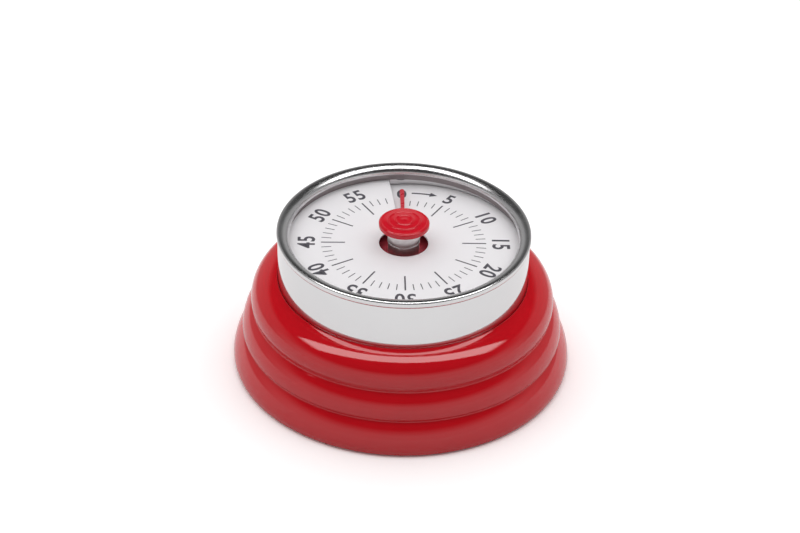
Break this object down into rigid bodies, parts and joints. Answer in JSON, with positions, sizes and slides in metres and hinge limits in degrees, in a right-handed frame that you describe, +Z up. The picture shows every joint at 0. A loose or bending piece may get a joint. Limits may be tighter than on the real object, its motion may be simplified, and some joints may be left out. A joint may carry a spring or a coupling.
{
  "type": "countdown timer",
  "caption": "Mechanical kitchen countdown timer: white dial in a chromed drum, central turning knob with hand, stepped round base.",
  "frame": {"origin": "centre of the ring on which the base stands", "axes": "+Z up along the axis of the knob, +Y toward minute 0 of the dial, +X toward minute 15"},
  "size_m": [0.0712, 0.0712, 0.0343],
  "materials": {
    "red_lacquer": "glossy red lacquer on pressed steel",
    "chrome": "bright chrome plating",
    "dial_white": "satin white print on thin sheet",
    "red_plastic": "glossy red moulded plastic",
    "red_paint": "satin red paint",
    "red_film": "thin red film",
    "stem_steel": "turned and polished steel",
    "black_plastic": "fine grained black plastic",
    "ferrite": "ground dark grey ferrite",
    "brass": "stamped brass",
    "steel": "turned steel",
    "spring_steel": "blued spring steel",
    "bell_steel": "nickelled steel",
    "zinc": "zinc plated steel"
  },
  "bodies": {
    "housing": {"base_skirt": "red_lacquer", "bottom_cover": "black_plastic", "magnet": "ferrite", "cover_screws": "zinc", "drum_case": "chrome", "bezel_ring": "chrome", "dial_plate": "dial_white", "back_plate": "brass", "front_plate": "brass", "front_bush": "brass", "plate_pillars": "steel", "pillar_nuts": "zinc", "movement_screws": "zinc", "mainspring": "spring_steel", "spring_post": "steel", "bell": "bell_steel", "bell_screw": "zinc"},
    "knob": {"knob_cap": "red_plastic", "knob_stem": "stem_steel", "needle": "red_paint", "film_disc": "red_film", "main_arbor": "steel", "ratchet_wheel": "steel", "strike_cam": "steel"},
    "great_wheel": {"main_wheel": "brass"},
    "pawl": {"click": "steel"},
    "second_arbor": {"second_wheel": "brass", "second_pinion": "steel"},
    "third_arbor": {"third_wheel": "brass", "third_pinion": "steel"},
    "escape_arbor": {"escape_wheel": "brass", "escape_pinion": "steel"},
    "verge": {"pallets": "steel", "verge_arbor": "steel", "balance_ring": "brass"},
    "striker": {"hammer": "steel", "hammer_tail": "steel"}
  },
  "joints": [
    {"name": "knob_turn", "type": "hinge", "parent": "housing", "child": "knob", "pos_m": [0, 0, 0.03], "axis": [0, 0, -1], "range_deg": [0, 354], "deforming": ["film_disc", "mainspring"]},
    {"name": "great_wheel_turn", "type": "hinge", "parent": "housing", "child": "great_wheel", "pos_m": [0, 0, 0.018], "axis": [0, 0, -1], "range_deg": [0, 354]},
    {"name": "click_lift", "type": "hinge", "parent": "great_wheel", "child": "pawl", "pos_m": [0.00598, -0.00345, 0.0191], "axis": [0, 0, 1], "range_deg": [0, 10], "stiffness_Nm_per_rad": 0.0005},
    {"name": "second_arbor_turn", "type": "hinge", "parent": "housing", "child": "second_arbor", "pos_m": [-0.01285, -0.00468, 0.018], "axis": [0, 0, -1], "range_deg": [-2840, 10]},
    {"name": "third_arbor_turn", "type": "hinge", "parent": "housing", "child": "third_arbor", "pos_m": [-0.00983, -0.01262, 0.018], "axis": [0, 0, -1], "range_deg": [-10, 21250]},
    {"name": "escape_arbor_turn", "type": "hinge", "parent": "housing", "child": "escape_arbor", "pos_m": [-0.00314, -0.01467, 0.016], "axis": [0, 0, -1], "range_deg": [-127450, 10]},
    {"name": "verge_swing", "type": "hinge", "parent": "housing", "child": "verge", "pos_m": [0.00318, -0.01466, 0.017], "axis": [0, 0, 1], "range_deg": [-5, 5]},
    {"name": "hammer_swing", "type": "hinge", "parent": "housing", "child": "striker", "pos_m": [0.0169, 0.00148, 0.016], "axis": [0, 0, 1], "range_deg": [0, 6], "stiffness_Nm_per_rad": 0.002}
  ],
  "couplings": [
    {"joint": "great_wheel_turn", "follows": "knob_turn", "ratio": 1},
    {"joint": "second_arbor_turn", "follows": "knob_turn", "ratio": -8},
    {"joint": "third_arbor_turn", "follows": "knob_turn", "ratio": 60},
    {"joint": "escape_arbor_turn", "follows": "knob_turn", "ratio": -360}
  ]
}
